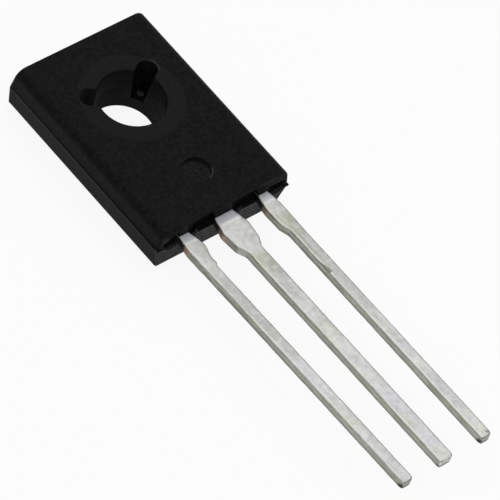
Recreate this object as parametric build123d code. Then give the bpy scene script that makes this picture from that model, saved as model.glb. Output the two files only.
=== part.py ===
"""Darlington power transistor in the flat three-lead TO-225 outline.

A black epoxy moulding with a mounting hole holds a stamped, tin-plated copper lead
frame. The collector blade is one strip with the heat-spreading back plate; the emitter
and base blades end in bond pads inside the epoxy, where wires join them to the die.

Millimetres. The origin is on the axis of the mounting hole, in the plane of the bare
back plate. +X runs across the body to the base lead, +Y to the end above the hole
(the leads run to -Y) and +Z out of the plain front face.
"""
from build123d import *
import os
from math import hypot, radians, tan

# ---- epoxy moulding -------------------------------------------------------------
body_width = 7.65            # at the mould's parting line
hole_to_top = 3.92           # hole axis to the end above the hole, at the parting line
hole_to_leads = 6.98         # hole axis to the end where the leads come out
body_thickness = 2.50
parting_height = 1.50        # the mould halves meet near the leads' middle plane
side_draft = 8.0             # degrees, long walls of the front half
end_draft = 5.0              # degrees, its two end walls
front_edge_radius = 0.50     # the two long edges of the front face
front_end_radius = 0.10      # its two short edges
back_width = 7.00            # back face, inside the parting line by the rear half's draft
back_to_top = 4.05
back_to_leads = 6.86
lead_corner_radius = 0.10    # upright corners of the rear half at the lead end
top_corner_radius = 0.08     # and at the other end
lip_width = 0.05             # witness lip that the two mould halves leave all round
lip_height = 0.08
lip_lead_corner_radius = 0.05
lip_top_corner_radius = 0.30

hole_radius = 1.60           # clears an M3 screw
ring_radius = 2.53           # shallow seat for the screw's washer
ring_depth = 0.04
pin_slot_radius = 0.48       # slots left by the two pins that hold the plate down in the mould
pin_slot_distance = 1.94     # slot centre to hole axis
pin_slot_angle = 30.5        # degrees above the X axis
pin_slot_floor = 0.55        # a skin of epoxy covers the plate here
pin_tip_radius = 0.15        # each pin's tip went through it and touched the metal
pin_tip_distance = 2.12      # tip centre to hole axis
ejector_radius = 0.72
ejector_depth = 0.10
ejector_y = -4.83

groove_depth = 0.30          # groove of the mould's comb, between and beside the leads
groove_half_width = 3.55
notch_top = 2.30             # between the leads the comb reaches further up the front half
notch_lean = 0.20            # leans over to the emitter's side by this much
notch_overlap = 0.05         # and bares this much of each blade's face beside it
boss_flare = 0.10            # each lead's boss is wider at its foot by this much a side

# ---- stamped lead frame ---------------------------------------------------------
strip_thickness = 0.50
lead_back = 1.24             # height of the blades' back faces
lead_root = -6.95            # where the blades leave the epoxy
flare_end = -7.52            # the blades widen to their full width here
widest_at = -7.80
shoulder_start = -8.75
shoulder_end = -9.22
lead_tip = -22.55
blade_fillet = 0.12          # stamped corners of the shoulders
tip_round = 0.10             # sheared corners of the tips

centre_root_width = 1.08
centre_flare_width = 1.38
centre_widest_width = 1.52
centre_shoulder_width = 1.32
centre_blade_width = 0.83

outer_root = (2.03, 2.62)    # inner and outer edge of the base blade, from the middle plane
outer_flare = (1.88, 2.72)
outer_widest = (1.85, 2.75)
outer_shoulder = (1.89, 2.74)
outer_blade = (2.06, 2.72)

emitter_tip_set = 0.24       # how far each tip was pushed towards +X in handling
collector_tip_set = 0.12
base_tip_set = 0.10

plate_width = 5.20           # bare on the back
plate_top = 3.30
plate_bottom = -4.20
plate_corner = 0.70          # chamfers at the corners
plate_hole_radius = 1.86     # the epoxy lines the plate's hole
lock_step_width = 0.28       # coined flange that the epoxy grips
lock_step_height = 0.25
joggle_start = -4.60         # from here the strip slopes up to the lead plane
joggle_run = 0.75            # length of that slope along Y
bend_radius = 0.20           # inside the bends
neck_width = 1.90
neck_end = -5.85
neck_taper = 0.40            # the neck narrows to the blade's root over this length

pad_inner_end = -4.75        # bond pads of the emitter and base blades
pad_outer_end = -6.35
pad_inner_edge = 1.30
pad_outer_edge = 3.10
pad_corner = 0.25
lock_hole_radius = 0.28      # the epoxy grips the pads through these

# ---- die and bond wires ---------------------------------------------------------
die_size = 1.90
die_thickness = 0.25
die_y = -3.05
solder_margin = 0.12
solder_thickness = 0.06
emitter_wire_radius = 0.15
base_wire_radius = 0.10
wire_foot = 0.42             # length of each wedge-bonded foot
wire_sink = 0.45             # share of its radius by which a foot is pressed flat
wire_arch = 0.60             # height over the pads that pulls the loop up
wire_reach = 0.50            # how far the loop runs on in line with each foot
emitter_bond_x = -0.45       # first feet on the die
base_bond_x = 0.55
die_bond_y = -2.90
pad_bond_y = -5.15           # second feet on the pads
pad_bond_x = 2.05

lead_front = lead_back + strip_thickness
clear = 1.0                  # how far cutting tools reach past the body
near = 0.05                  # tolerance for picking edges by their place


def plan(points, z_low, z_high):
    """A prism with the given XY outline between two heights."""
    face = make_face(Polyline(*points, close=True))
    return extrude(Plane.XY.offset(z_low) * face, z_high - z_low)


def mirrored(points):
    """The right-hand edge of an outline, followed by its mirror image in X."""
    return points + [(-x, y) for x, y in reversed(points)]


# ---- lead frame -----------------------------------------------------------------
def lead_plan(edges, tip_set):
    """Outline of one blade outside the epoxy, from (x left, x right, y) stations."""
    reach = shoulder_end - lead_tip

    def leaned(x, y):
        return (x + tip_set * max(0.0, shoulder_end - y) / reach, y)

    left = [leaned(x, y) for x, _, y in edges]
    right = [leaned(x, y) for _, x, y in edges]
    return left + right[::-1]


def soften_blade(blade):
    """Round the stamped shoulders and the sheared tip of a blade."""
    upright = blade.edges().filter_by(Axis.Z)
    shoulders = upright.filter_by(lambda e: shoulder_end - near < e.center().Y < flare_end + near)
    blade = fillet(shoulders, blade_fillet)
    tip = blade.edges().filter_by(Axis.Z).group_by(Axis.Y)[0]
    return fillet(tip, tip_round)


def outer_blade_part(side, tip_set):
    """Emitter (side -1) or base (side +1) blade with its bond pad inside the epoxy."""
    stations = [
        (outer_root, pad_outer_end), (outer_root, lead_root), (outer_flare, flare_end),
        (outer_widest, widest_at), (outer_shoulder, shoulder_start),
        (outer_blade, shoulder_end), (outer_blade, lead_tip),
    ]
    edges = [(*sorted((side * a, side * b)), y) for (a, b), y in stations]
    blade = soften_blade(plan(lead_plan(edges, tip_set), lead_back, lead_front))
    pad_centre = side * (pad_inner_edge + pad_outer_edge) / 2
    pad = Pos(pad_centre, (pad_inner_end + pad_outer_end) / 2, lead_back) * Box(
        pad_outer_edge - pad_inner_edge, pad_inner_end - pad_outer_end, strip_thickness,
        align=(Align.CENTER, Align.CENTER, Align.MIN))
    pad = fillet(pad.edges().filter_by(Axis.Z), pad_corner)
    lock_hole = Pos(pad_centre, pad_outer_end + 2 * lock_hole_radius, lead_back) * Cylinder(
        lock_hole_radius, strip_thickness, align=(Align.CENTER, Align.CENTER, Align.MIN))
    return blade + pad - lock_hole


def strip_profile():
    """Side view of the collector strip: back plate, joggle and lead plane at one gauge."""
    slope_end = joggle_start - joggle_run
    slope_length = hypot(joggle_run, lead_back)
    gauge_shift = strip_thickness * (slope_length - joggle_run) / lead_back
    far_end = 2 * lead_tip
    outer_radius = bend_radius + strip_thickness
    return make_face(FilletPolyline(
        (plate_top, 0), (joggle_start, 0), (slope_end, lead_back), (far_end, lead_back),
        (far_end, lead_front), (slope_end + gauge_shift, lead_front),
        (joggle_start + gauge_shift, strip_thickness), (plate_top, strip_thickness),
        radius=[0, outer_radius, bend_radius, 0, 0, outer_radius, bend_radius, 0], close=True))


def collector_strip():
    """Back plate, joggle and collector blade, bent from one strip of constant gauge."""
    half_bare = plate_width / 2
    half_plate = half_bare + lock_step_width
    strip = extrude(Plane.YZ * strip_profile(), half_plate, both=True)
    blank = plan(mirrored([
        (half_plate - plate_corner, plate_top), (half_plate, plate_top - plate_corner),
        (half_plate, plate_bottom + plate_corner), (half_plate - plate_corner, plate_bottom),
        (neck_width / 2, plate_bottom), (neck_width / 2, neck_end),
        (centre_root_width / 2, neck_end - neck_taper), (centre_root_width / 2, lead_root),
    ]), 0, lead_front)

    # coined flange: the bare back is narrower and shorter than the plate's upper half
    bare_top = plate_top - lock_step_width
    rim = plan(mirrored([(half_plate, plate_top), (half_plate, plate_bottom)]),
               0, lock_step_height)
    bare = plan(mirrored([(half_bare - plate_corner, bare_top), (half_bare, bare_top - plate_corner),
                          (half_bare, plate_bottom)]), 0, lock_step_height)
    hole = Cylinder(plate_hole_radius, 4 * strip_thickness)

    stations = [
        (centre_root_width, neck_end - neck_taper), (centre_root_width, lead_root),
        (centre_flare_width, flare_end), (centre_widest_width, widest_at),
        (centre_shoulder_width, shoulder_start), (centre_blade_width, shoulder_end),
        (centre_blade_width, lead_tip),
    ]
    edges = [(-width / 2, width / 2, y) for width, y in stations]
    blade = soften_blade(plan(lead_plan(edges, collector_tip_set), lead_back, lead_front))
    return (strip & blank) - (rim - bare) - hole + blade


# ---- die, solder and wires ------------------------------------------------------
def chip():
    """The silicon die and the solder that holds it to the back plate."""
    low = (Align.CENTER, Align.CENTER, Align.MIN)
    solder_size = die_size + 2 * solder_margin
    solder = Pos(0, die_y, strip_thickness) * Box(
        solder_size, solder_size, solder_thickness, align=low)
    solder = fillet(solder.edges().filter_by(Axis.Z), 2 * solder_margin)
    die = Pos(0, die_y, strip_thickness + solder_thickness) * Box(
        die_size, die_size, die_thickness, align=low)
    return solder, die


def bond_wire(start, end, radius, die, pad):
    """A looped wire with a flattened foot on the die and one on the bond pad."""
    die_top = strip_thickness + solder_thickness + die_thickness
    z_start = die_top + radius * (1 - wire_sink)
    z_end = lead_front + radius * (1 - wire_sink)
    along = Vector(end[0] - start[0], end[1] - start[1], 0)
    span = along.length
    rise_from = wire_foot
    fall_to = span - wire_foot
    loop_top = lead_front + wire_arch
    upright = Plane(origin=(start[0], start[1], 0), x_dir=along.normalized(),
                    z_dir=along.normalized().cross(Vector(0, 0, 1)))
    loop = Bezier((rise_from, z_start), (rise_from + wire_reach, z_start),
                  (rise_from + wire_reach, loop_top), (fall_to - wire_reach / 2, loop_top),
                  (fall_to - wire_reach, z_end), (fall_to, z_end))
    route = upright * Wire([Line((0, z_start), (rise_from, z_start)), loop,
                            Line((fall_to, z_end), (span, z_end))])
    section = Plane(origin=route @ 0, z_dir=route % 0) * Circle(radius)
    return sweep(section, path=route) - die - pad


# ---- moulding -------------------------------------------------------------------
def front_half():
    """Front half of the moulding: drafted walls, two well-rounded long edges."""
    rise = body_thickness - parting_height
    side_inset = rise * tan(radians(side_draft))
    end_inset = rise * tan(radians(end_draft))
    half = body_width / 2
    section = make_face(Polyline(
        (-half, parting_height), (half, parting_height), (half - side_inset, body_thickness),
        (side_inset - half, body_thickness), close=True))
    section = fillet(section.vertices().group_by(Axis.Y)[-1], front_edge_radius)
    bar = extrude(Plane.XZ * section, 2 * hole_to_leads, both=True)
    ends = make_face(Polyline(
        (hole_to_top, parting_height), (hole_to_top - end_inset, body_thickness),
        (end_inset - hole_to_leads, body_thickness), (-hole_to_leads, parting_height),
        close=True))
    block = bar & extrude(Plane.YZ * ends, body_width, both=True)
    end_faces = block.faces().sort_by(Axis.Y)
    rims = [e for face in (end_faces[0], end_faces[-1]) for e in face.edges()
            if e.center().Z > parting_height + near]
    return fillet(rims, front_end_radius)


def outline(width, top, bottom, z, lead_corner, top_corner):
    """A level section of the body, with its own corner radius at each end."""
    face = Plane.XY.offset(z) * Pos(0, (top - bottom) / 2) * Rectangle(width, top + bottom)
    face = fillet(face.vertices().group_by(Axis.Y)[0], lead_corner)
    return fillet(face.vertices().group_by(Axis.Y)[-1], top_corner)


def back_half():
    """Rear half of the moulding: its walls draft in to the flat back face."""
    corners = (lead_corner_radius, top_corner_radius)
    low = outline(back_width, back_to_top, back_to_leads, 0, *corners)
    high = outline(body_width, hole_to_top, hole_to_leads, parting_height, *corners)
    return loft([low, high], ruled=True)


def parting_lip():
    """The thin lip that stands out all round where the mould halves met."""
    belt = outline(body_width + 2 * lip_width, hole_to_top + lip_width, hole_to_leads + lip_width,
                   parting_height - lip_height, lip_lead_corner_radius, lip_top_corner_radius)
    return extrude(belt, lip_height)


def comb_grooves():
    """What the mould's comb leaves open: a groove beside the leads, a notch between them."""
    outside = -hole_to_leads - clear
    inside = groove_depth - hole_to_leads
    bosses = [(-outer_root[1], -outer_root[0]), (-centre_root_width / 2, centre_root_width / 2),
              (outer_root[0], outer_root[1])]
    left_ends = [-groove_half_width] + [b[1] for b in bosses]
    right_ends = [b[0] for b in bosses] + [groove_half_width]
    grooves = []
    for index, (left, right) in enumerate(zip(left_ends, right_ends)):
        between_leads = index in (1, 2)
        flare_left = 0 if index == 0 else boss_flare
        flare_right = 0 if index == 3 else boss_flare
        points = [(left + flare_left, inside), (right - flare_right, inside),
                  (right, -hole_to_leads), (right, outside), (left, outside), (left, -hole_to_leads)]
        groove = plan(points, parting_height, lead_front)
        if between_leads:
            outer = [(left - notch_overlap, lead_front), (right + notch_overlap, lead_front),
                     (right - notch_lean, notch_top), (left - notch_lean, notch_top)]
            notch = make_face(Polyline(*outer, close=True))
            groove += Pos(0, inside, 0) * extrude(Plane.XZ * notch, clear)
        grooves.append(groove)
    return grooves


def pin_slots():
    """Slots in the hole's wall from the plate-holding pins, whose tips reached the metal."""
    slots = []
    standing = (Align.CENTER, Align.CENTER, Align.MIN)
    height = body_thickness - pin_slot_floor
    for angle in (pin_slot_angle, 180 - pin_slot_angle):
        slot = Pos(pin_slot_distance, 0, pin_slot_floor) * Cylinder(
            pin_slot_radius, height, align=standing)
        mouth = Pos(pin_slot_distance / 2, 0, pin_slot_floor) * Box(
            pin_slot_distance, 2 * pin_slot_radius, height, align=standing)
        tip = Pos(pin_tip_distance, 0, strip_thickness) * Cylinder(
            pin_tip_radius, height, align=standing)
        slots.append(Rot(0, 0, angle) * (slot + mouth + tip))
    return slots


def moulding(held):
    """The epoxy body, cut to fit everything that it holds."""
    body = front_half() + back_half() + parting_lip()
    ring = Pos(0, 0, body_thickness) * Cylinder(ring_radius, 2 * ring_depth)
    mark = Pos(0, ejector_y, body_thickness) * Cylinder(ejector_radius, 2 * ejector_depth)
    hole = Cylinder(hole_radius, 2 * body_thickness)
    for cutter in [ring, mark, hole, *pin_slots(), *comb_grooves(), *held]:
        body = body - cutter
    return body


# ---- assembly -------------------------------------------------------------------
collector_frame = collector_strip()
emitter_lead = outer_blade_part(-1, emitter_tip_set)
base_lead = outer_blade_part(1, base_tip_set)
die_attach_solder, darlington_die = chip()
emitter_bond_wire = bond_wire((emitter_bond_x, die_bond_y), (-pad_bond_x, pad_bond_y),
                              emitter_wire_radius, darlington_die, emitter_lead)
base_bond_wire = bond_wire((base_bond_x, die_bond_y), (pad_bond_x, pad_bond_y),
                           base_wire_radius, darlington_die, base_lead)

nodes = {
    "collector_frame": collector_frame,
    "emitter_lead": emitter_lead,
    "base_lead": base_lead,
    "darlington_die": darlington_die,
    "die_attach_solder": die_attach_solder,
    "emitter_bond_wire": emitter_bond_wire,
    "base_bond_wire": base_bond_wire,
}
nodes["moulded_body"] = moulding(list(nodes.values()))

os.makedirs("parts", exist_ok=True)
for name, shape in nodes.items():
    export_step(shape, f"parts/{name}.step")
    print(name, round(shape.volume, 4), "mm3", shape.is_valid)
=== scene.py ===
from math import ceil, cos, hypot, pi, radians, sin, sqrt, tan

import bmesh
import bpy
from mathutils import Euler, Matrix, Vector, noise


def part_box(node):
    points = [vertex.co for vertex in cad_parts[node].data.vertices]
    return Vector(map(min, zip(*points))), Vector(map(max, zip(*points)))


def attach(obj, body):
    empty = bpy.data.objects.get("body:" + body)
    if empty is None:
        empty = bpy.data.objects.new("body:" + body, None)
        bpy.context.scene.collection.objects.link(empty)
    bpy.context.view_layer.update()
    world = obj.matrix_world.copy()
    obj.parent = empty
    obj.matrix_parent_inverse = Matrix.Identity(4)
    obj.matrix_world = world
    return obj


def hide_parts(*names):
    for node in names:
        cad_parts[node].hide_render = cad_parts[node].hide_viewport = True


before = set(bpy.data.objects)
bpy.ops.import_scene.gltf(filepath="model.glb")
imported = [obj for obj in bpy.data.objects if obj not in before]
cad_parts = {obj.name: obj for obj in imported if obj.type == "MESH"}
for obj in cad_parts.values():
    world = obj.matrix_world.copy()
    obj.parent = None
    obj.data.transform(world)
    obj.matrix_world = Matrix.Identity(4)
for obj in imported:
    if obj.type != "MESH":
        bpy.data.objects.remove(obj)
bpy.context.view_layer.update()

mm = 0.001                   # pieces are drawn in millimetres and brought to metres at the end

# ---- collector strip --------------------------------------------------------------
# Back plate, joggle and middle lead in one piece: 0.5 mm copper strip, stamped, coined at the
# plate's rim, bent up to the lead plane and dipped in tin. The epoxy holds the coined rim.
strip_thickness = 0.50
lead_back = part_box("base_lead")[0].z / mm
lead_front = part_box("base_lead")[1].z / mm
lead_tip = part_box("base_lead")[0].y / mm
lead_root = -6.95            # here the blades leave the epoxy
band_end = -7.40             # the mould's comb kept the tin thin up to here
band_step = 0.002            # how much lower the blade's face lies in that band
band_ramp = 0.07
station_pitch = 0.06         # distance between a blade's cross-sections
edge_radius = 0.10           # of the tinned edges
tip_round = 0.20             # corners of the sheared tips, seen from the front
left_round = 0.4             # how far the left corners are, as a share of the right ones
tip_bevel = 0.6              # of the tips' front and back edges, as a share of edge_radius
tip_stations = (0.24, 0.15, 0.08, 0.03, 0.0)   # cross-sections there, as shares of tip_round
tin_swell = 0.007            # unevenness of the dipped tin
swell_across, swell_along = 1.7, 1.2           # its waves to the millimetre
finer_swell, finer_share = 3.5, 0.4            # and a finer swell on it
shear_swell, torn_along = 0.010, 2.6           # unevenness of the sheared sides
nick_x, nick_y = 2.66, -22.36  # where the cutter nicked the base lead's tip
run_out = 0.12               # the shoulders' corners are rounded over this length
plate_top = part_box("collector_frame")[1].y / mm
plate_bottom = -4.20
half_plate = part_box("collector_frame")[1].x / mm
lock_step_width = 0.28       # coined rim
lock_step_height = 0.25
plate_corner = 0.70
plate_cut = 0.08             # radius that the stamping die leaves at a corner
rim_reach = 0.1              # the coined rim runs this far past the plate's lower edge
plate_hole_radius = 1.86
plate_hole_sides = 72
joggle_start = -4.60
joggle_run = 0.75
bend_radius = 0.20
half_neck = 0.95
neck_end = -5.85
neck_taper = 0.40
half_root = 0.54
middle_widths = [(neck_end, half_root), (lead_root, half_root), (-7.52, 0.69), (-7.80, 0.76),
                 (-8.75, 0.66), (-9.22, 0.415)]   # half the middle blade, down to the tip
middle_set, middle_seed = 0.12, 11.0              # its tip stands this far off its line
lead_smooth = 40             # degrees between faces that still look like one surface
margin = 0.2                 # how far a cutting tool reaches past what it cuts


class Value:
    """A number that varies over a surface. Python's arithmetic on it adds Math nodes."""

    def __init__(self, tree, socket):
        self.tree, self.socket = tree, socket

    def math(self, operation, *terms):
        made = self.tree.nodes.new("ShaderNodeMath")
        made.operation = operation
        for entry, term in zip(made.inputs, terms):
            if isinstance(term, Value):
                self.tree.links.new(term.socket, entry)
            else:
                entry.default_value = term
        return Value(self.tree, made.outputs[0])

    def __add__(self, other): return self.math("ADD", self, other)
    def __radd__(self, other): return self.math("ADD", other, self)
    def __sub__(self, other): return self.math("SUBTRACT", self, other)
    def __rsub__(self, other): return self.math("SUBTRACT", other, self)
    def __mul__(self, other): return self.math("MULTIPLY", self, other)
    def __rmul__(self, other): return self.math("MULTIPLY", other, self)
    def __pow__(self, other): return self.math("POWER", self, other)
    def __or__(self, other): return self.math("MAXIMUM", self, other)
    def __ror__(self, other): return self.math("MAXIMUM", other, self)
    def __abs__(self): return self.math("ABSOLUTE", self)
    def __neg__(self): return self.math("MULTIPLY", self, -1)


class Finish:
    """The shader of a material or of the world, as it is being put together."""

    def __init__(self, owner):
        owner.use_nodes = True
        self.owner, self.tree = owner, owner.node_tree
        self.tree.nodes.clear()

    def node(self, kind, settings, sockets, output=0):
        """Adds a node: its settings first, then the values or links of its sockets."""
        made = self.tree.nodes.new("ShaderNode" + kind)
        for name, value in settings.items():
            setattr(made, name, value)
        for name, value in sockets.items():
            entry = made.inputs[name]
            if isinstance(value, Value):
                self.tree.links.new(value.socket, entry)
            elif entry.type == "RGBA":
                entry.default_value = (*value, 1)
            else:
                entry.default_value = value
        return Value(self.tree, made.outputs[output]) if made.outputs else None

    def place(self):
        """The point on the piece, in millimetres in the part's own frame."""
        point = self.node("TexCoord", {}, {}, "Object")
        return self.node("VectorMath", {"operation": "SCALE"}, {0: point, "Scale": 1 / mm})

    def axes(self, vector):
        """A vector's three numbers."""
        return [self.node("SeparateXYZ", {}, {"Vector": vector}, n) for n in range(3)]

    def stretched(self, point, x, y, z):
        return self.node("VectorMath", {"operation": "MULTIPLY"}, {0: point, 1: (x, y, z)})

    def cloud(self, point, scale, detail=3.0, roughness=0.5):
        """Soft noise from 0 to 1, with about this many waves to the millimetre."""
        return self.node("TexNoise", {}, {"Vector": point, "Scale": scale, "Detail": detail,
                                          "Roughness": roughness})

    def rise(self, value, low, high):
        """0 below low, 1 above high and a smooth slope between them."""
        return self.node("MapRange", {"interpolation_type": "SMOOTHSTEP"},
                         {"Value": value, "From Min": low, "From Max": high})

    def fall(self, value, low, high):
        return 1 - self.rise(value, low, high)

    def blend(self, share, first, second):
        """The first colour where share is 0, the second where it is 1."""
        return self.node("Mix", {"data_type": "RGBA"}, {0: share, 6: first, 7: second}, 2)

    def coated(self, ground, coats):
        """A ground colour with coats, each a share and a colour, laid over it in turn."""
        for share, colour in coats:
            ground = self.blend(share, ground, colour)
        return ground

    def relief(self, height, depth):
        """The normal of fine relief: height runs from 0 to 1 over a depth in millimetres."""
        return self.node("Bump", {}, {"Distance": depth * mm, "Height": height})

    def surface(self, **sockets):
        """Ends the material with a Principled surface. Socket names have _ for a space."""
        named = {name.replace("_", " "): value for name, value in sockets.items()}
        self.node("OutputMaterial", {}, {"Surface": self.node("BsdfPrincipled", {}, named)})
        return self.owner


def loft(rings):
    """A closed skin through rings of equally many points, capped at its two ends."""
    skin = bmesh.new()
    rows = [[skin.verts.new(point) for point in ring] for ring in rings]
    for lower, upper in zip(rows, rows[1:]):
        for n in range(len(lower)):
            m = (n + 1) % len(lower)
            skin.faces.new((lower[n], lower[m], upper[m], upper[n]))
    skin.faces.new(rows[0][::-1])
    skin.faces.new(rows[-1])
    bmesh.ops.recalc_face_normals(skin, faces=skin.faces)
    return skin


def piece(name, skin):
    """An object made of a skin, still in millimetres."""
    mesh = bpy.data.meshes.new(name)
    skin.to_mesh(mesh)
    skin.free()
    made = bpy.data.objects.new(name, mesh)
    bpy.context.scene.collection.objects.link(made)
    return made


def applied(target):
    """Makes a piece's modifiers permanent."""
    shape = target.evaluated_get(bpy.context.evaluated_depsgraph_get())
    mesh = bpy.data.meshes.new_from_object(shape)
    target.modifiers.clear()
    target.data = mesh


def joined(target, tool, operation):
    """Adds a tool piece to the target, or cuts it out of it, and clears the tool away."""
    step = target.modifiers.new("tool", "BOOLEAN")
    step.object, step.operation, step.solver = tool, operation, "EXACT"
    applied(target)
    bpy.data.objects.remove(tool)


def finished(target, material, smooth_under, node):
    """Brings a piece to metres, smooths it and puts it in the place of its CAD node."""
    for vertex in target.data.vertices:
        vertex.co *= mm
    target.data.materials.clear()
    target.data.materials.append(material)
    target.data.shade_smooth()
    target.data.set_sharp_from_angle(angle=radians(smooth_under))
    target.modifiers.new("flat faces stay flat", "WEIGHTED_NORMAL").keep_sharp = True
    applied(target)
    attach(target, "root")
    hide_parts(node)


def rounded(corners, steps=6):
    """An outline through corners (x, y, radius), each rounded by its own radius."""
    outline = []
    for n, (x, y, radius) in enumerate(corners):
        corner = Vector((x, y))
        if radius == 0:
            outline.append(corner)
            continue
        back = (Vector(corners[n - 1][:2]) - corner).normalized()
        ahead = (Vector(corners[(n + 1) % len(corners)][:2]) - corner).normalized()
        half = back.angle(ahead) / 2
        centre = corner + (back + ahead).normalized() * radius / sin(half)
        first = (corner + back * radius / tan(half) - centre).normalized()
        last = (corner + ahead * radius / tan(half) - centre).normalized()
        outline += [centre + radius * first.slerp(last, k / steps) for k in range(steps + 1)]
    return outline


def circle(cx, cy, radius, count):
    return [(cx + radius * cos(2 * pi * n / count), cy + radius * sin(2 * pi * n / count))
            for n in range(count)]


def prism(outline, low, high):
    """An XY outline drawn out between two heights."""
    return piece("tool", loft([[(x, y, z) for x, y in outline] for z in (low, high)]))


def mirrored(right_edge):
    """The right-hand edge of an outline, followed by its mirror image."""
    return right_edge + [(-x, y, radius) for x, y, radius in reversed(right_edge)]


# places round a blade's cross-section: share across, share up, and the way the skin faces
section = []
section_corners = [(1, 1), (0, 1), (0, 0), (1, 0)]
corner_steps, wide_steps, thick_steps = 4, 8, 4
for quarter, here in enumerate(section_corners):
    there = section_corners[(quarter + 1) % len(section_corners)]
    turned = 90 * quarter
    section += [(*here, turned + 90 * n / corner_steps) for n in range(corner_steps + 1)]
    steps = wide_steps if here[0] != there[0] else thick_steps
    section += [(here[0] + (there[0] - here[0]) * n / steps,
                 here[1] + (there[1] - here[1]) * n / steps, turned + 90)
                for n in range(1, steps)]


def along(stations, y):
    """An edge's place at y, from stations (y, x) that run down to the tip, corners softened."""
    def straight(at):
        for (y0, x0), (y1, x1) in zip(stations, stations[1:]):
            if at >= y1:
                return x0 + (x1 - x0) * min(1.0, max(0.0, (y0 - at) / (y0 - y1)))
        return stations[-1][1]

    samples = 7
    places = [y + run_out * (n / (samples - 1) - 0.5) for n in range(samples)]
    return sum(straight(place) for place in places) / samples


def blade(name, left, right, start, tip_set, seed):
    """A tinned blade from its start inside the epoxy to its sheared tip."""
    count = ceil((start - lead_tip) / station_pitch)
    straight_from = left[-1][0]
    rings = []
    stations = [start + (lead_tip - start) * row / count for row in range(count)]
    stations += [lead_tip + share * tip_round for share in tip_stations]
    for y in stations:
        lean = tip_set * max(0.0, straight_from - y) / (straight_from - lead_tip)
        to_tip = min(1.0, (y - lead_tip) / edge_radius)
        inset = tip_bevel * edge_radius * (1 - sqrt(1 - (1 - to_tip) ** 2))
        to_corner = min(1.0, (y - lead_tip) / tip_round)
        corner = tip_round * (1 - sqrt(1 - (1 - to_corner) ** 2))
        x0, x1 = along(left, y) + lean + left_round * corner, along(right, y) + lean - corner
        in_band = min(1.0, max(0.0, (y - band_end) / band_ramp))
        z0, z1 = lead_back + inset, lead_front - band_step * in_band - inset
        ring = []
        for across, up, angle in section:
            out = Vector((cos(radians(angle)), 0, sin(radians(angle))))
            point = edge_radius * out + Vector((
                x0 + edge_radius + across * (x1 - x0 - 2 * edge_radius), y,
                z0 + edge_radius + up * (z1 - z0 - 2 * edge_radius)))
            spot = Vector((swell_across * point.x + seed, swell_along * y,
                           swell_across * point.z))
            swell = noise.noise(spot) + finer_share * noise.noise(finer_swell * spot) - 1
            torn = abs(out.x) * (noise.noise(Vector((seed + out.x, torn_along * y, 0))) - 0.5)
            ring.append(point + (tin_swell * swell + shear_swell * torn) * out)
        rings.append(ring)
    return piece(name, loft(rings))


# the strip's side view: flat plate, two bends, lead plane
slope_end = joggle_start - joggle_run
gauge_shift = strip_thickness * (hypot(joggle_run, lead_back) - joggle_run) / lead_back
outer_bend = bend_radius + strip_thickness
past_neck = 2 * neck_end
side_view = rounded([
    (plate_top, 0, 0), (joggle_start, 0, outer_bend), (slope_end, lead_back, bend_radius),
    (past_neck, lead_back, 0), (past_neck, lead_front, 0),
    (slope_end + gauge_shift, lead_front, outer_bend),
    (joggle_start + gauge_shift, strip_thickness, bend_radius),
    (plate_top, strip_thickness, 0)])
half_bare = half_plate - lock_step_width
bare_top = plate_top - lock_step_width
rim_bottom = plate_bottom - rim_reach
blank = rounded(mirrored([
    (half_plate - plate_corner, plate_top, plate_cut),
    (half_plate, plate_top - plate_corner, plate_cut),
    (half_plate, plate_bottom + plate_corner, plate_cut),
    (half_plate - plate_corner, plate_bottom, plate_cut),
    (half_neck, plate_bottom, plate_cut), (half_neck, neck_end, plate_cut),
    (half_root, neck_end - neck_taper, 0)]))
bare_plate = rounded(mirrored([
    (half_bare - plate_corner, bare_top, plate_cut),
    (half_bare, bare_top - plate_corner, plate_cut), (half_bare, rim_bottom - margin, 0)]))
round_plate = rounded(mirrored([(half_plate + margin, plate_top + margin, 0),
                                (half_plate + margin, rim_bottom, 0)]))

strip_sides = [[(x, y, z) for y, z in side_view]
               for x in (-half_plate - margin, half_plate + margin)]
collector = piece("tinned_collector_strip", loft(strip_sides))
joined(collector, prism(blank, -margin, lead_front + margin), "INTERSECT")
rim = prism(round_plate, -margin, lock_step_height)
joined(rim, prism(bare_plate, -2 * margin, lock_step_height + margin), "DIFFERENCE")
joined(collector, rim, "DIFFERENCE")
plate_hole = circle(0, 0, plate_hole_radius, plate_hole_sides)
joined(collector, prism(plate_hole, -margin, strip_thickness + margin), "DIFFERENCE")
joined(collector, blade("blade", [(y, -half) for y, half in middle_widths], middle_widths,
                        neck_end - margin, middle_set, middle_seed), "UNION")

# tin plate: soft grey, a little yellow or blue in patches, thinner in the band by the epoxy,
# with sheared sides of a darker olive grey that show copper where the comb closed on them
fresh_tin, yellow_tin, blue_tin = (0.58, 0.58, 0.57), (0.57, 0.58, 0.505), (0.55, 0.55, 0.60)
dull_tin, patchy_tin, greasy_tin = (0.42, 0.42, 0.41), (0.41, 0.41, 0.39), (0.42, 0.425, 0.35)
dark_spot, light_spot = (0.36, 0.36, 0.34), (0.68, 0.68, 0.66)
mark_olive, grime, fold_olive = (0.27, 0.275, 0.215), (0.34, 0.35, 0.27), (0.20, 0.205, 0.15)
nick_black, crease_highlight_white = (0.10, 0.10, 0.09), (0.85, 0.85, 0.85)
edge_highlight_tint, tip_highlight_tint = (0.93, 0.93, 0.82), (0.93, 0.93, 0.85)
band_low, band_high = (0.50, 0.50, 0.54), (0.72, 0.71, 0.77)
band_outer, band_base = (0.55, 0.62, 0.65), (0.88, 0.90, 0.90)
side_dark, side_light = (0.22, 0.22, 0.18), (0.50, 0.50, 0.46)
side_low_shade, side_tipward = (0.12, 0.12, 0.10), (0.60, 0.60, 0.53)
low_edge_shade, low_tip_black = (0.08, 0.08, 0.06), (0.03, 0.03, 0.02)
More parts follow.
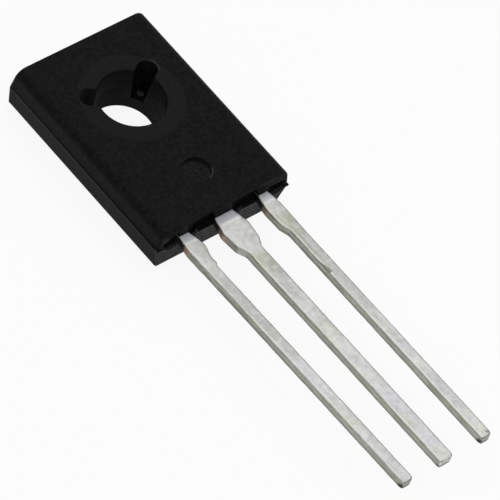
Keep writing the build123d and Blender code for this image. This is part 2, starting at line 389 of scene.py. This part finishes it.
bare_copper, root_black = (0.43, 0.30, 0.235), (0.012, 0.009, 0.008)
cut_dark, cut_light = (0.38, 0.38, 0.34), (0.78, 0.78, 0.74)
cut_outer, cut_rim_shade = (0.22, 0.22, 0.18), (0.04, 0.04, 0.03)
sealed_grey = (0.30, 0.30, 0.30)
chatter_x, chatter_y = 0.07, -10.5   # marks across the middle lead
drag_x = 2.25                        # a drag mark along the base lead
shoulder_y, neck_y = -8.95, -9.85    # grime at the base lead's shoulder, the middle's neck
fold_x, fold_low, fold_high = 2.10, -12.0, -11.2   # the base lead's edge is folded over here
cut_y = -20.0                        # only the sheared ends face down the lead below here

tin = Finish(bpy.data.materials.new("tin_plate"))
point = tin.place()
x, y, z = tin.axes(point)
facing = tin.axes(tin.node("TexCoord", {}, {}, "Normal"))
drawn = tin.stretched(point, 1.0, 0.45, 1.0)
patches = tin.cloud(drawn, 1.5, 3.0, 0.55)
fine = tin.cloud(drawn, 6.0, 3.0, 0.6)
lines = tin.cloud(tin.stretched(point, 14.0, 0.35, 14.0), 1.0, 2.0)
spots = tin.cloud(tin.stretched(point, 1.0, 1.3, 1.0), 3.6, 3.0, 0.6)
warm = tin.rise(tin.cloud(tin.stretched(point, 1.1, 0.6, 1.1), 1.1, 2.0), 0.46, 0.64)
cool = tin.rise(tin.cloud(tin.stretched(point, 0.9, 0.7, 0.9), 0.8, 2.0, 0.4), 0.45, 0.60)
grease = tin.rise(tin.cloud(tin.stretched(point, 3.0, 0.35, 3.0), 1.0, 3.0, 0.6), 0.50, 0.62)
side = tin.rise(abs(facing[0]), 0.80, 0.97)
end = tin.rise(-facing[1], 0.25, 0.50) * tin.fall(y, cut_y, cut_y + 0.1)
outer = tin.rise(abs(x), 1.2, 1.6)
base = tin.rise(x, 1.9, 2.0)
band = tin.rise(y, band_end - 0.02, band_end + 0.05) * tin.fall(y, -6.6, -6.4)

# the blades' faces, from the tin itself to the marks on it, with painted highlights along the
# crease and the edges
dulled = tin.rise(y, -15.5, -12.0) * (0.25 + (0.20 + 0.35 * outer) * tin.fall(y, -10.3, -8.8))
clean = 1 - 0.45 * tin.fall(y, -17.0, -12.0)
waves = tin.rise(tin.cloud(tin.stretched(point, 1.2, 4.0, 1.2), 1.0, 2.0), 0.44, 0.58)
chatter = tin.fall(abs(y - chatter_y), 0.25, 0.65) * tin.fall(abs(x - chatter_x), 0.14, 0.32)
chatter = chatter * (0.3 + 0.7 * waves)
drag = tin.fall(abs(x - drag_x), 0.03, 0.10) * tin.rise(y, -11.2, -10.7)
drag = drag * tin.fall(y, -9.6, -9.2)
shoulder = base * tin.fall(abs(y - shoulder_y), 0.50, 1.00)
neck = tin.fall(abs(y - neck_y), 0.15, 0.55) * (1 - outer) * 0.8
dirty = (shoulder | neck) * (0.35 + 0.35 * tin.rise(fine, 0.40, 0.60))
nick = tin.fall(((x - nick_x) ** 2 + (y - nick_y) ** 2) ** 0.5, 0.04, 0.12)
thin = tin.blend(tin.rise(y, band_end, lead_root - 0.05), band_low, band_high)
thin = tin.coated(thin, ((outer * 0.6, band_outer), (base * 0.45, band_base)))
# painted highlight: a light line along the crease where the thin band ends
crease_highlight = tin.fall(abs(y - band_end + 0.10 * patches - 0.03), 0.02, 0.13)
# painted highlight along the blades' rounded left edges
edge_highlight = tin.rise(-facing[0], 0.03, 0.25) * tin.fall(-facing[0], 0.72, 0.92)
fold = base * tin.fall(x - 0.16 * tin.fall(y, fold_low, fold_high), fold_x, fold_x + 0.05)
fold = fold * tin.rise(y, fold_low - 0.02, fold_low + 0.03) * tin.fall(y, -11.4, -11.1)
# painted highlight along the front edge at each tip
tip_highlight = tin.fall(y, lead_tip + 0.03, lead_tip + 0.10) * tin.rise(facing[2], 0.35, 0.65)
face_colour = tin.coated(fresh_tin, (
    (warm * 0.6, yellow_tin), (cool * 0.6, blue_tin), (dulled, dull_tin),
    (clean * tin.rise(patches, 0.40, 0.66) * 0.38, patchy_tin),
    (clean * grease * 0.38, greasy_tin), (tin.rise(spots, 0.48, 0.66) * 0.34, dark_spot),
    (tin.fall(spots, 0.32, 0.44) * 0.35, light_spot),
    (chatter * 0.60 | drag * 0.55, mark_olive), (dirty, grime),
    (nick * (0.4 + 0.5 * tin.rise(fine, 0.4, 0.6)), nick_black), (band * 0.85, thin),
    (crease_highlight * 0.5, crease_highlight_white),
    (edge_highlight * (0.25 + 0.45 * tin.rise(patches, 0.35, 0.6)), edge_highlight_tint),
    (fold * 0.8, fold_olive), (tip_highlight * 0.7, tip_highlight_tint)))

# their sheared sides, with painted shade low down and a dark low corner at the tip, with copper
# and a black flank by the epoxy
streak = tin.rise(tin.cloud(tin.stretched(point, 1.0, 0.5, 3.0), 1.8, 4.0, 0.65), 0.38, 0.62)
low_tip = tin.fall(y + 0.5 * (z - lead_back) - 0.12 * outer, lead_tip + 0.10, lead_tip + 0.34)
low_tip = low_tip * tin.fall(z - 0.12 * outer, lead_back + 0.12, lead_back + 0.36)
near_root = y + 0.25 * fine
copper = tin.rise(near_root + 0.22 * (1 - outer), -7.82, -7.62)
side_colour = tin.blend(0.6 * streak + 0.4 * tin.rise(fine, 0.3, 0.7), side_dark, side_light)
side_colour = tin.coated(side_colour, (
    # painted shade on the sides' lower part and along their lower edge
    (tin.fall(z, lead_back + 0.10, lead_back + 0.40) * 0.4, side_low_shade),
    # lighter towards the tip
    (tin.fall(y, -17.0, -9.0) * 0.28, side_tipward),
    (tin.fall(z, lead_back + 0.06, lead_back + 0.18) * 0.85, low_edge_shade),
    (low_tip * 0.95, low_tip_black),
    (copper * (0.45 + 0.55 * tin.rise(fine, 0.40, 0.52)), bare_copper),
    (tin.rise(near_root, -7.42, -7.24), root_black)))

# and their sheared ends, with painted shade along their lower rim and right-hand edge and at
# the outer blades' lower left corner
rim_shade = tin.fall(z, lead_back + 0.13, lead_back + 0.21) | tin.rise(facing[0], 0.10, 0.50)
low_left = tin.rise(-facing[0], 0.25, 0.60) * tin.fall(z, lead_back + 0.25, lead_back + 0.40)
sheared = tin.blend(tin.rise(fine, 0.40, 0.60), cut_dark, cut_light)
sheared = tin.coated(sheared, (
    (outer * 0.6, cut_outer), ((rim_shade | outer * low_left) * 0.95, cut_rim_shade)))

sealed = tin.rise(y, -6.60, -6.50) * tin.rise(z, 0.30, 0.35)
skin = tin.coated(face_colour, ((side, side_colour), (end, sheared), (sealed, sealed_grey)))
tin_plate = tin.surface(Base_Color=skin, Metallic=1.0 - 0.6 * band,
                        Roughness=0.34 + 0.16 * patches + 0.10 * side + 0.10 * fine,
                        Normal=tin.relief(0.55 * fine + 0.45 * lines, 0.0035))
finished(collector, tin_plate, lead_smooth, "collector_frame")

# ---- emitter and base leads -------------------------------------------------------
# Two more blades of the same stamped strip. Each widens inside the epoxy into a bond pad with
# a hole that the epoxy fills, and leaves through a boss of its own, tinned like the first.
pad_top, pad_bottom = -4.75, -6.35
pad_inner, pad_outer = 1.30, 3.10
pad_corner = 0.25
lock_hole, lock_hole_sides = 0.28, 24
# the blades' inner and outer edges, as (y, distance from the middle), down to the tips
blade_inner = [(pad_bottom, 2.03), (lead_root, 2.03), (-7.52, 1.88), (-7.80, 1.85),
               (-8.75, 1.89), (-9.22, 2.06)]
burred_inner = [(pad_bottom, 2.03), (lead_root, 2.03), (-7.52, 1.85), (-7.80, 1.80),
                (-8.05, 1.84), (-8.35, 1.95), (-8.70, 2.00), (-8.91, 1.94), (-8.99, 2.06)]
blade_outer = [(pad_bottom, 2.62), (lead_root, 2.62), (-7.52, 2.72), (-7.80, 2.75),
               (-8.75, 2.74), (-9.22, 2.72)]
for hand, node, inner, tip_set, seed in ((-1, "emitter_lead", burred_inner, 0.24, 23.0),
                                         (1, "base_lead", blade_inner, 0.10, 37.0)):
    edges = [[(y, hand * x) for y, x in edge] for edge in (inner, blade_outer)]
    left, right = edges[::hand]
    lead = blade("tinned_" + node, left, right, pad_bottom + margin, tip_set, seed)
    pad = rounded([(hand * x, y, pad_corner) for x, y in (
        (pad_inner, pad_bottom), (pad_outer, pad_bottom), (pad_outer, pad_top),
        (pad_inner, pad_top))])
    joined(lead, prism(pad, lead_back, lead_front), "UNION")
    hole = circle(hand * (pad_inner + pad_outer) / 2, pad_bottom + 2 * lock_hole, lock_hole,
                  lock_hole_sides)
    joined(lead, prism(hole, lead_back - margin, lead_front + margin), "DIFFERENCE")
    finished(lead, tin_plate, lead_smooth, node)

# ---- die, solder and bond wires ---------------------------------------------------
# Sealed in the epoxy: a silicon die with both transistors, the solder that holds it to the
# back plate, and two aluminium wires wedge-bonded from the die to the pads.
scribe_line, die_metal = (0.10, 0.09, 0.14), (0.42, 0.42, 0.44)
solder_dark, solder_light = (0.38, 0.39, 0.41), (0.60, 0.60, 0.61)
wire_dark, wire_light = (0.66, 0.66, 0.68), (0.84, 0.84, 0.86)

silicon = Finish(bpy.data.materials.new("etched_silicon"))
cells = silicon.node("TexVoronoi", {}, {"Vector": silicon.place(), "Scale": 9.0,
                                        "Randomness": 0.25})
metal = silicon.rise(cells, 0.25, 0.35)
etched_silicon = silicon.surface(
    Base_Color=silicon.blend(metal, scribe_line, die_metal), Metallic=0.6,
    Roughness=0.18 + 0.25 * metal, Normal=silicon.relief(metal, 0.004))
solder = Finish(bpy.data.materials.new("soft_solder"))
grain = solder.cloud(solder.place(), 14.0, 4.0, 0.6)
soft_solder = solder.surface(
    Base_Color=solder.blend(grain, solder_dark, solder_light), Metallic=1.0,
    Roughness=0.30 + 0.25 * grain, Normal=solder.relief(grain, 0.006))
wire = Finish(bpy.data.materials.new("drawn_aluminium"))
drawing = wire.cloud(wire.stretched(wire.place(), 9.0, 2.0, 9.0), 2.0, 3.0)
drawn_aluminium = wire.surface(
    Base_Color=wire.blend(drawing, wire_dark, wire_light), Metallic=1.0,
    Roughness=0.22 + 0.2 * drawing, Normal=wire.relief(drawing, 0.003))
for node, material in (
        ("darlington_die", etched_silicon), ("die_attach_solder", soft_solder),
        ("emitter_bond_wire", drawn_aluminium), ("base_bond_wire", drawn_aluminium)):
    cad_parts[node].data.materials.clear()
    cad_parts[node].data.materials.append(material)

# ---- epoxy moulding ---------------------------------------------------------------
# Black filled epoxy, transfer-moulded round the frame. Two mould halves meet in a thin lip at
# the leads' height, pins and a comb held the frame, and a sleeve left the screw hole.
body_low, body_high = (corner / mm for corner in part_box("moulded_body"))
body_top = body_high.z
parting = 1.50
lip_width, lip_height = 0.05, 0.08
lip_side, lip_end = 0.5, 1.3         # worn away along the sides, fuller beside the leads
half_width = body_high.x - lip_width
hole_to_top = 3.92
hole_to_leads = -body_low.y - lip_width
side_draft, end_draft = radians(8.0), radians(5.0)
front_edge, front_end = 0.50, 0.02
front_corners = (0.12, 0.10)         # upright corners at the top and at the lead end
lip_corners = (0.26, 0.05)
back_corners = (0.08, 0.10)
back_half_width, back_top, back_bottom = 3.50, body_high.y, 6.86
belt_bottom = 1.32                   # the rear half stands upright from here up to the lip
hole_radius, hole_taper, bore_edge = 1.60, 0.05, 0.09
hole_sides, pin_tip_sides, outline_steps = 96, 16, 5
ring_radius, ring_depth, ring_blend = 2.53, 0.015, 0.10
face_loop = (3.10, 3.60, 6.75)       # an inner outline keeps the front face's shading flat
mark_radius, mark_depth, mark_x, mark_y = 0.69, 0.09, 0.0, -4.74
lean_x, lean_y = 0.75, 0.66          # the mark's floor is deep on this side, flush opposite
mark_lift = 0.02                     # the leaning tool clears the face by this much
mark_rough, mark_waves, mark_fade = 0.030, 6.0, 8.0
mark_loops = (0.04, 0.14, 0.24, 0.34, 0.44, 0.54, 0.62, mark_radius - 0.03, mark_radius)
slot_radius, slot_reach, slot_angle, slot_mouth = 0.48, 1.94, 30.5, 0.4
slot_floor, slot_taper = 0.55, 0.17
tip_radius, tip_reach = 0.18, 2.12   # where each pin's tip touched the plate
groove_depth, groove_half, boss_flare = 0.30, 3.55, 0.10
notch_top, notch_lean, notch_overlap, notch_corner = 2.30, 0.20, 0.05, 0.04
tooth_low, tooth_high = 1.12, 2.03   # the comb's teeth reach past both faces of the leads
soft_edge = 0.035            # radius of the mould's own edges, a little worn
weld = 0.0005                # a core's points closer than this are one
moulding_smooth = 32


def body_ring(z, half, top, bottom, corners, flash=0.0):
    """The moulding's outline at one height, with flash pressed out at its lead end."""
    top_corner, lead_corner = corners
    outline = rounded([(half, top, top_corner), (-half, top, top_corner),
                       (-half - flash, -bottom, lead_corner),
                       (half + flash, -bottom, lead_corner)], outline_steps)
    return [(x, y, z) for x, y in outline]


def drafted(edge, draft, radius, z):
    """How far out a front-half wall stands at a height: drafted, then rounded into the face."""
    if z < body_top - radius * (1 - sin(draft)):
        return edge - (z - parting) * tan(draft)
    centre = edge - (radius + (body_top - radius - parting) * sin(draft)) / cos(draft)
    return centre + sqrt(max(0.0, radius ** 2 - (z - body_top + radius) ** 2))


rings = []
for z, inset in ((0.0, soft_edge), (0.3 * soft_edge, 0.3 * soft_edge), (soft_edge, 0.0),
                 (belt_bottom, 0.0), (parting - lip_height, 0.0)):
    up = min(1.0, z / belt_bottom)
    rings.append(body_ring(z, back_half_width + (half_width - back_half_width) * up - inset,
                           back_top + (hole_to_top - back_top) * up - inset,
                           back_bottom + (hole_to_leads - back_bottom) * up - inset,
                           back_corners))
for angle in range(-90, 91, 30):
    out = lip_width * (0.25 + 0.75 * cos(radians(angle)))
    z = parting - lip_height / 2 * (1 - 0.98 * sin(radians(angle)))
    rings.append(body_ring(z, half_width + lip_side * out, hole_to_top + lip_side * out,
                           hole_to_leads + lip_end * out, lip_corners, (1 - lip_side) * out))
just_above = parting + 0.001
heights = {just_above, 1.6, 1.8, body_top}
heights |= {body_top - front_edge * (1 - sin(radians(angle))) for angle in range(8, 90, 6)}
heights |= {body_top - front_end * (1 - sin(radians(angle))) for angle in range(5, 90, 17)}
for z in sorted(heights):
    rings.append(body_ring(z, drafted(half_width, side_draft, front_edge, z),
                           drafted(hole_to_top, end_draft, front_end, z),
                           drafted(hole_to_leads, end_draft, front_end, z), front_corners))
rings.append(body_ring(body_top, *face_loop, front_corners))
moulding = piece("epoxy_moulding", loft(rings))


def worn_tool(outline_at, low, high, taper=0.0, worn=soft_edge):
    """A cutting tool that flares by the worn edge's radius where it meets a face at high."""
    levels = [(low, -taper)]
    levels += [(high - worn * (1 - sin(radians(angle))), worn * (1 - cos(radians(angle))))
               for angle in range(0, 91, 15)]
    levels.append((high + margin, worn))
    return piece("tool", loft([[(x, y, z) for x, y in outline_at(out)] for z, out in levels]))


def pin_slot(angle):
    """Outline of a slot: a round end, and a mouth that opens into the hole."""
    def outline_at(out):
        size = slot_radius + out
        points = [(slot_mouth, -size)]
        points += [(slot_reach + size * cos(radians(a)), size * sin(radians(a)))
                   for a in range(-90, 91, 10)]
        points.append((slot_mouth, size))
        c, s = cos(radians(angle)), sin(radians(angle))
        return [(x * c - y * s, x * s + y * c) for x, y in points]
    return outline_at


# the washer's seat, a shallow step with a soft edge
seat_height = body_top - ring_depth
seat_steps, seat_sides = 5, 120
seat_rings = []
for n in range(seat_steps + 1):
    t = n / seat_steps
    seat_rings.append([(x, y, seat_height + ring_depth * t * t * (3 - 2 * t)) for x, y in
                       circle(0, 0, ring_radius + ring_blend * (t - 0.5), seat_sides)])
seat_rings.append([(x, y, body_top + margin)
                   for x, y in circle(0, 0, ring_radius + ring_blend, seat_sides)])
joined(moulding, piece("tool", loft(seat_rings)), "DIFFERENCE")

# the ejector pin's mark, with its rough leaning floor
mark_sides, mark_mouth = 64, 0.010
mark_rings = []
for radius in mark_loops:
    floor = []
    for x, y in circle(mark_x, mark_y, radius, mark_sides):
        lean = (lean_x * (x - mark_x) + lean_y * (y - mark_y)) / mark_radius
        rough = mark_rough * noise.noise(Vector((mark_waves * x, mark_waves * y, 3.0)))
        rough *= min(1.0, mark_fade * (mark_radius - radius))
        floor.append((x, y, body_top - max(-mark_lift, mark_depth * (1 + lean)) + rough))
    mark_rings.append(floor)
mark_rings.append([(x, y, body_top + margin)
                   for x, y in circle(mark_x, mark_y, mark_radius + mark_mouth, mark_sides)])
joined(moulding, piece("tool", loft(mark_rings)), "DIFFERENCE")

# the screw hole and the two slots of the pins that held the plate, open down to it
joined(moulding, worn_tool(lambda out: circle(0, 0, hole_radius + out, hole_sides), -margin,
                           seat_height, hole_taper, bore_edge), "DIFFERENCE")
for angle in (slot_angle, 180 - slot_angle):
    joined(moulding, worn_tool(pin_slot(angle), slot_floor, seat_height, slot_taper),
           "DIFFERENCE")
    turn = radians(angle)
    tip = circle(tip_reach * cos(turn), tip_reach * sin(turn), tip_radius, pin_tip_sides)
    joined(moulding, prism(tip, strip_thickness, slot_floor + margin), "DIFFERENCE")

# the comb's openings in the end wall, as outlines (x, z) between the bosses round the blades
bosses = [(-blade_outer[0][1], -blade_inner[0][1]), (-half_root, half_root),
          (blade_inner[0][1], blade_outer[0][1])]
lefts = [-groove_half] + [right for left, right in bosses]
rights = [left for left, right in bosses] + [groove_half]
inside, outside = groove_depth - hole_to_leads, -hole_to_leads - margin
for n, (left, right) in enumerate(zip(lefts, rights)):
    if n == 0:
        openings = [[(left, 1.50), (left + 0.42, tooth_low), (right, tooth_low),
                     (right, tooth_high), (right - 0.35, tooth_high), (left, 1.72)]]
    elif n == len(bosses):
        openings = [[(left, tooth_low), (right, 1.26), (right, 1.96),
                     (left - notch_overlap, tooth_high), (left - notch_overlap, lead_front),
                     (left, lead_front)]]
    else:
        openings = [[(left, 0.60), (left + 0.62, parting), (right - boss_flare, parting),
                     (right, 1.20), (right, lead_front), (left, lead_front)],
                    [(left - notch_overlap, lead_front), (right + notch_overlap, lead_front),
                     (right - notch_lean, notch_top), (left - notch_lean, notch_top)]]
    for opening in openings:
        tooth = rounded([(x, z, notch_corner if z > lead_front else 0) for x, z in opening])
        tooth_sides = [[(x, y, z) for x, z in tooth] for y in (inside, outside)]
        joined(moulding, piece("tool", loft(tooth_sides)), "DIFFERENCE")

# the room that the frame, die and wires take up inside
for node in ("collector_frame", "emitter_lead", "base_lead", "darlington_die",
             "die_attach_solder", "emitter_bond_wire", "base_bond_wire"):
    core = bmesh.new()
    core.from_mesh(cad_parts[node].data)
    for vertex in core.verts:
        vertex.co /= mm
    bmesh.ops.remove_doubles(core, verts=core.verts, dist=weld)
    joined(moulding, piece("core", core), "DIFFERENCE")

# epoxy: black and finely grained, matt where a tool or the comb shaped it and grey in the
# ejector mark, with painted shade in the screw hole and the pin slots, painted light on the
# hole's lower wall and a painted reflection of the table on the end wall below the parting line
grain_dark, grain_light = (0.0030, 0.0030, 0.0030), (0.0086, 0.0085, 0.0084)
flow_black, seat_black = (0.0085, 0.0084, 0.0083), (0.0105, 0.0105, 0.0105)
bore_shade_black, deep_lit_grey = (0.0045, 0.0045, 0.0045), (0.038, 0.038, 0.038)
rear_black, end_reflection_grey = (0.014, 0.014, 0.014), (0.085, 0.087, 0.092)
mark_grey, pale_mark_grey = (0.022, 0.022, 0.022), (0.045, 0.045, 0.045)
pale_rim_x, pale_rim_y = 0.68, -0.73       # from the ejector mark's middle towards the side where its rim is paler

epoxy = Finish(bpy.data.materials.new("black_epoxy"))
point = epoxy.place()
x, y, z = epoxy.axes(point)
filler = epoxy.cloud(point, 16.0, 5.0, 0.65)
coarse = epoxy.cloud(point, 11.0, 3.0, 0.7)
grain = epoxy.cloud(point, 4.5, 4.0, 0.75)
flow = epoxy.cloud(epoxy.stretched(point, 0.8, 0.35, 0.8), 0.7, 3.0)
from_hole = (x * x + y * y) ** 0.5
on_seat = epoxy.rise(z, seat_height - 0.02, seat_height - 0.005)
seat = epoxy.fall(from_hole, ring_radius - 0.05, ring_radius) * on_seat
bore = epoxy.fall(from_hole, 2.44, 2.48) * epoxy.fall(z, seat_height - 0.12, seat_height - 0.03)
deep = epoxy.fall(from_hole, 1.63, 1.66) * epoxy.fall(z, 0.9, 1.5)
rear = epoxy.fall(z, belt_bottom - 0.15, belt_bottom) * epoxy.rise(z, 0.01, 0.03)
# painted reflection of the table on the end wall below the parting line, broken up by the
# filler's flecks
end_reflection = epoxy.rise(-y, 6.80, 6.85) * epoxy.fall(z, parting - 0.06, parting)
centre = epoxy.fall(abs(x), 2.0, 2.5)
end_wall = epoxy.rise(-y, 6.84, 6.92) * epoxy.rise(z, parting + 0.05, parting + 0.10)
from_mark = ((x - mark_x) ** 2 + (y - mark_y) ** 2) ** 0.5
marked = epoxy.fall(from_mark, mark_radius - 0.05, mark_radius) * epoxy.rise(z, 2.2, 2.3)
# a paler arc on one side of the ejector mark's rim, and a paler line beside a pin slot
pale_rim_side = epoxy.rise(pale_rim_x * (x - mark_x) + pale_rim_y * (y - mark_y), 0.62, 0.66)
pale_marks = epoxy.fall(abs(from_mark - mark_radius), 0.03, 0.07) * pale_rim_side
slot_x, slot_y = (slot_reach * part(radians(slot_angle)) for part in (cos, sin))
from_slot = ((x - slot_x) ** 2 + (y - slot_y) ** 2) ** 0.5
burr = epoxy.fall(abs(from_slot - slot_radius - 0.09), 0.02, 0.06)
burr = burr * epoxy.rise(x - slot_x, 0.36, 0.50)
pale_marks = (pale_marks | burr * 0.6) * on_seat
shade = epoxy.blend(epoxy.rise(grain, 0.38, 0.62), grain_dark, grain_light)
shade = epoxy.coated(shade, (
    (epoxy.rise(flow, 0.45, 0.75) * 0.3, flow_black), (seat * 0.5, seat_black),
    # painted shade in the screw hole and the pin slots, then painted light on the hole's lower
    # wall, more at its sides
    (bore, bore_shade_black), (deep * (0.4 + 0.6 * epoxy.rise(abs(x), 0.5, 1.4)), deep_lit_grey),
    (rear * epoxy.rise(coarse, 0.46, 0.60) * 0.8, rear_black),
    (end_reflection * epoxy.rise(filler, 0.38, 0.60) * (0.65 + 0.35 * centre), end_reflection_grey),
    (marked * epoxy.rise(coarse, 0.48, 0.62) * 0.9, mark_grey),
    (pale_marks * epoxy.rise(filler, 0.30, 0.50), pale_mark_grey)))
matt = 0.42 - 0.06 * seat + 0.10 * filler + 0.06 * flow
matt = matt + 0.12 * bore + 0.20 * rear + 0.12 * end_wall
black_epoxy = epoxy.surface(
    Base_Color=shade, Roughness=matt, Specular_IOR_Level=0.065,
    Normal=epoxy.relief(filler + (rear + marked) * coarse * 1.5, 0.022))
finished(moulding, black_epoxy, moulding_smooth, "moulded_body")

# ---- table, light and camera ------------------------------------------------------
# The part lies on its back on a pale table in soft studio light: a pale sky that darkens to
# the horizon, a large soft lamp high behind the part, and a weaker one before it.
table_half = 0.6
table_gap = 0.00002
table_white = 0.90           # how far the table shows as plain white rather than as lit paper
paper_dark, paper_light = (0.88, 0.88, 0.88), (0.90, 0.90, 0.90)
sky_low, sky_high = (0.16, 0.16, 0.17), (0.82, 0.82, 0.82)
sheet = bmesh.new()
bmesh.ops.create_grid(sheet, x_segments=1, y_segments=1, size=table_half)
table = piece("table", sheet)
table.location.z = -table_gap
paper = Finish(bpy.data.materials.new("table_paper"))
rays = [paper.node("LightPath", {}, {}, "Is %s Ray" % kind)
        for kind in ("Camera", "Glossy", "Transmission")]
fibre = paper.cloud(paper.place(), 0.05, 2.0)
lit = paper.node("BsdfDiffuse", {}, {"Color": paper.blend(fibre, paper_dark, paper_light)})
plain = paper.node("Emission", {}, {"Color": (1.0, 1.0, 1.0), "Strength": 1.0})
paper.node("OutputMaterial", {}, {"Surface": paper.node(
    "MixShader", {}, {0: (rays[0] | rays[1] | rays[2]) * table_white, 1: lit, 2: plain})})
table.data.materials.append(paper.owner)

bpy.context.scene.world = bpy.data.worlds.new("studio")
sky = Finish(bpy.context.scene.world)
height = sky.axes(sky.node("TexCoord", {}, {}, "Generated"))[2]
glow = sky.rise(height, 0.15, 0.75)
sky.node("OutputWorld", {}, {"Surface": sky.node(
    "Background", {}, {"Color": sky.blend(glow, sky_low, sky_high), "Strength": 1.0})})


def soft_lamp(name, direction, distance, size, strength):
    """A square lamp that shines at the part from a direction."""
    lamp = bpy.data.lights.new(name, "AREA")
    lamp.shape, lamp.size, lamp.energy = "SQUARE", size, strength
    holder = bpy.data.objects.new(name, lamp)
    bpy.context.scene.collection.objects.link(holder)
    aim = Vector((0, -0.009, 0))
    holder.location = aim + Vector(direction).normalized() * distance
    holder.rotation_euler = (aim - holder.location).to_track_quat("-Z", "Y").to_euler()


soft_lamp("high_lamp", (0.45, 0.35, 0.80), 0.50, 0.36, 0.36)
soft_lamp("front_lamp", (-0.30, -0.75, 0.60), 0.60, 0.30, 0.25)

camera = bpy.data.objects.new("camera", bpy.data.cameras.new("camera"))
bpy.context.scene.collection.objects.link(camera)
camera.location = Vector((-117.458, -94.300, 175.609)) * mm
camera.rotation_euler = Euler([radians(turn) for turn in (38.252, -11.941, -39.294)])
camera.data.sensor_width = 36
camera.data.lens = 366.4
camera.data.clip_start, camera.data.clip_end = 0.01, 10
bpy.context.scene.camera = camera
bpy.context.scene.view_settings.view_transform = "Standard"
